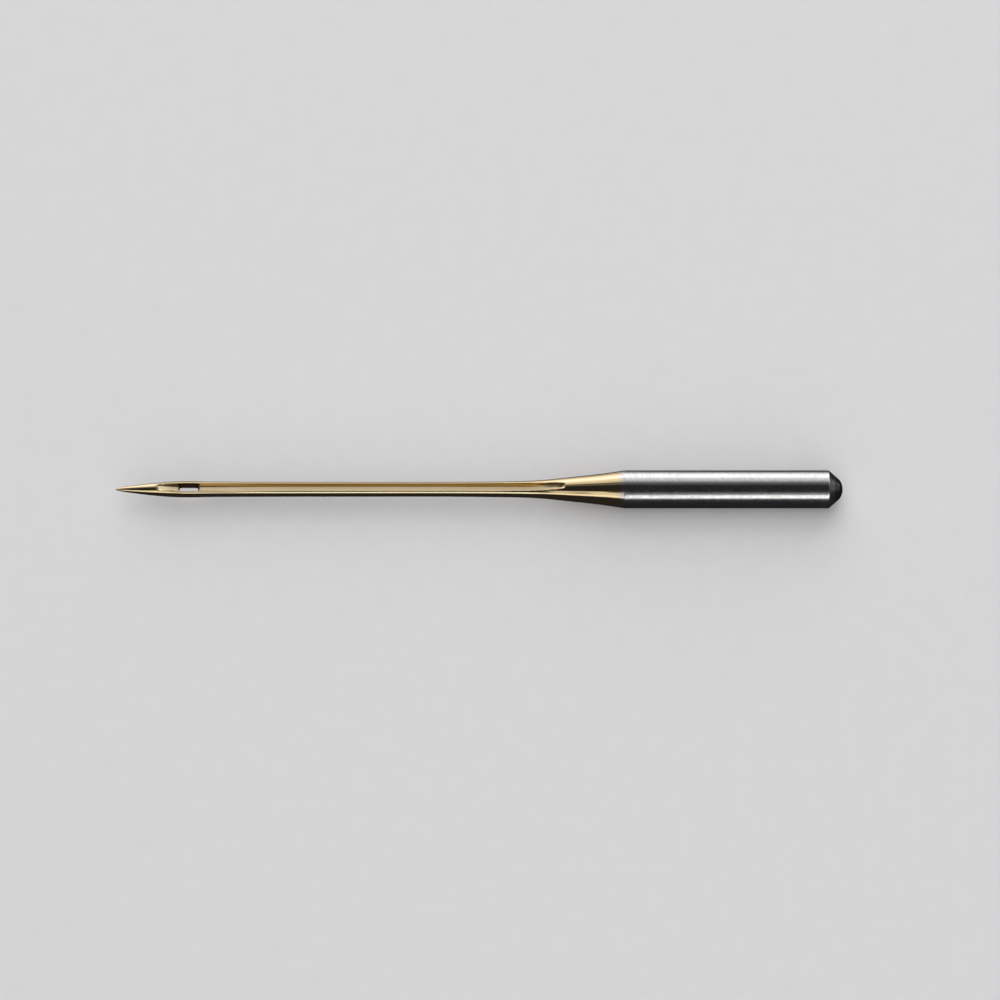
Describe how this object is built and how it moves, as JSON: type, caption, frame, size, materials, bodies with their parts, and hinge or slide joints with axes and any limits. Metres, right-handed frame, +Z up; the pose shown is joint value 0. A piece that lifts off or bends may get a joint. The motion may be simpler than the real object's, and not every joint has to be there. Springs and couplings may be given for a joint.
{
  "type": "sewing machine needle",
  "caption": "Lockstitch sewing machine needle lying on its side: round shank with a chamfered butt, flared shoulder, thin grooved blade, oval eye, scarf and fine point.",
  "frame": {"origin": "under the middle of the needle's length, at the underside of the shank, where it rests", "axes": "+X along the needle from the point to the butt, +Z up out of the long groove, so the scarf faces -Z; symmetric about Y = 0"},
  "size_m": [0.0384, 0.002, 0.002],
  "materials": {
    "needle_steel": "satin bare steel shank; polished gold-coloured hard coating from the shoulder to the point"
  },
  "bodies": {
    "root": {"needle": "needle_steel"}
  },
  "joints": []
}
